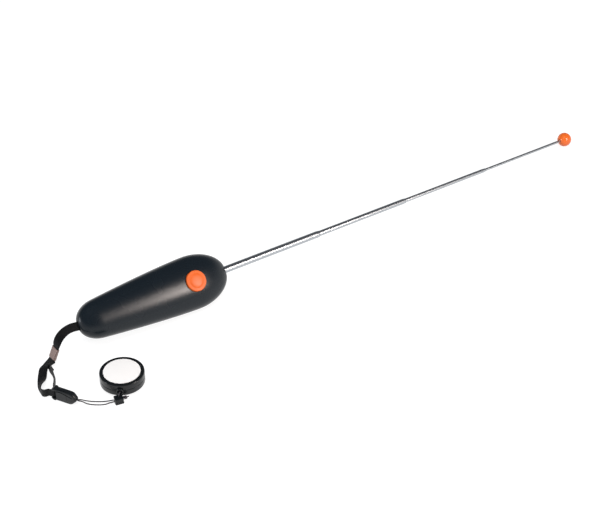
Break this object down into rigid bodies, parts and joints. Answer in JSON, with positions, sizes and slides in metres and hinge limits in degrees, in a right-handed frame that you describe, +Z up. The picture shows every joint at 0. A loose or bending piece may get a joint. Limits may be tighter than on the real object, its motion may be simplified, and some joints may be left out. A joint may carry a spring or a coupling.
{
  "type": "dog target stick",
  "caption": "Telescoping dog training stick: ball tip, chrome sliding rod, handle with a sprung click button, wrist strap with buckle, and a small clip-on cord reel.",
  "frame": {"origin": "on the flat face of the belt clip that the reel lies on, under the reel's centre", "axes": "+X runs beside the rod from the handle towards the ball, +Z is up, and the clip's face looks along -Z"},
  "size_m": [0.7341, 0.1188, 0.0506],
  "materials": {
    "handle_abs": "satin blue-black moulded ABS",
    "button_abs": "satin orange moulded ABS",
    "ball_abs": "polished orange ABS",
    "plated_steel": "bright chrome plating",
    "spring_bronze": "rolled bronze strip",
    "spring_steel": "tempered spring steel",
    "natural_nylon": "natural moulded nylon",
    "zinc_steel": "zinc-plated steel",
    "polyester_webbing": "black woven polyester webbing",
    "crimp_metal": "bent nickel-plated strip",
    "black_acetal": "moulded black acetal",
    "nylon_cord": "black braided nylon cord",
    "reel_abs": "glossy black moulded ABS",
    "white_label": "bare white printed film"
  },
  "bodies": {
    "handle": {"handle_top_shell": "handle_abs", "handle_bottom_shell": "handle_abs", "case_screw_1": "zinc_steel", "case_screw_2": "zinc_steel", "case_screw_3": "zinc_steel", "case_screw_4": "zinc_steel", "case_screw_5": "zinc_steel", "click_block": "natural_nylon", "blade_rivet_1": "zinc_steel", "blade_rivet_2": "zinc_steel", "base_tube": "plated_steel", "base_tube_plug": "natural_nylon", "strap_pin": "zinc_steel", "strap_outer_run": "polyester_webbing", "strap_inner_run": "polyester_webbing", "strap_crimp": "crimp_metal", "buckle_socket": "black_acetal"},
    "button": {"click_button": "button_abs"},
    "blade": {"click_blade": "spring_steel"},
    "section_1": {"section_1_tube": "plated_steel", "glide_sleeve_1": "spring_bronze"},
    "section_2": {"section_2_tube": "plated_steel", "glide_sleeve_2": "spring_bronze"},
    "section_3": {"section_3_tube": "plated_steel", "glide_sleeve_3": "spring_bronze"},
    "section_4": {"tip_rod": "plated_steel", "glide_sleeve_4": "spring_bronze", "target_ball": "ball_abs"},
    "reel": {"buckle_plug": "black_acetal", "loop_cord_upper": "nylon_cord", "loop_cord_lower": "nylon_cord", "cord_bead": "black_acetal", "loop_knot": "nylon_cord", "reel_cord_end": "nylon_cord", "reel_case_back": "reel_abs", "reel_case_front": "reel_abs", "reel_label": "white_label", "reel_rivet": "zinc_steel", "reel_nozzle": "reel_abs"},
    "spool": {"reel_spool": "natural_nylon", "reel_cord_winding": "nylon_cord", "reel_spring": "spring_steel"},
    "clip": {"belt_clip": "spring_steel"}
  },
  "joints": [
    {"name": "section_1_slide", "type": "slide", "parent": "handle", "child": "section_1", "axis": [-0.9995, 0, 0.032], "range_m": [0, 0.1185]},
    {"name": "section_2_slide", "type": "slide", "parent": "section_1", "child": "section_2", "axis": [-0.9995, 0, 0.032], "range_m": [0, 0.1185]},
    {"name": "section_3_slide", "type": "slide", "parent": "section_2", "child": "section_3", "axis": [-0.9995, 0, 0.032], "range_m": [0, 0.1185]},
    {"name": "section_4_slide", "type": "slide", "parent": "section_3", "child": "section_4", "axis": [-0.9995, 0, 0.032], "range_m": [0, 0.1185]},
    {"name": "button_press", "type": "slide", "parent": "handle", "child": "button", "axis": [-0.0206, 0.766, -0.6425], "range_m": [0, 0.0024], "stiffness_N_per_m": 1500},
    {"name": "blade_flex", "type": "hinge", "parent": "handle", "child": "blade", "pos_m": [0.09975, 0.06109, 0.03231], "axis": [0.0245, 0.6428, 0.7657], "range_deg": [0, 6.9]},
    {"name": "buckle_release", "type": "slide", "parent": "handle", "child": "reel", "axis": [0.4848, -0.8746, 0], "range_m": [0, 0.012]},
    {"name": "spool_spin", "type": "hinge", "parent": "reel", "child": "spool", "pos_m": [0, 0, 0.0089], "axis": [0, 0, 1], "continuous": true},
    {"name": "clip_swivel", "type": "hinge", "parent": "reel", "child": "clip", "pos_m": [0, 0, 0.0015], "axis": [0, 0, 1], "continuous": true}
  ],
  "couplings": [
    {"joint": "blade_flex", "follows": "button_press", "rad_per_m": 50}
  ]
}
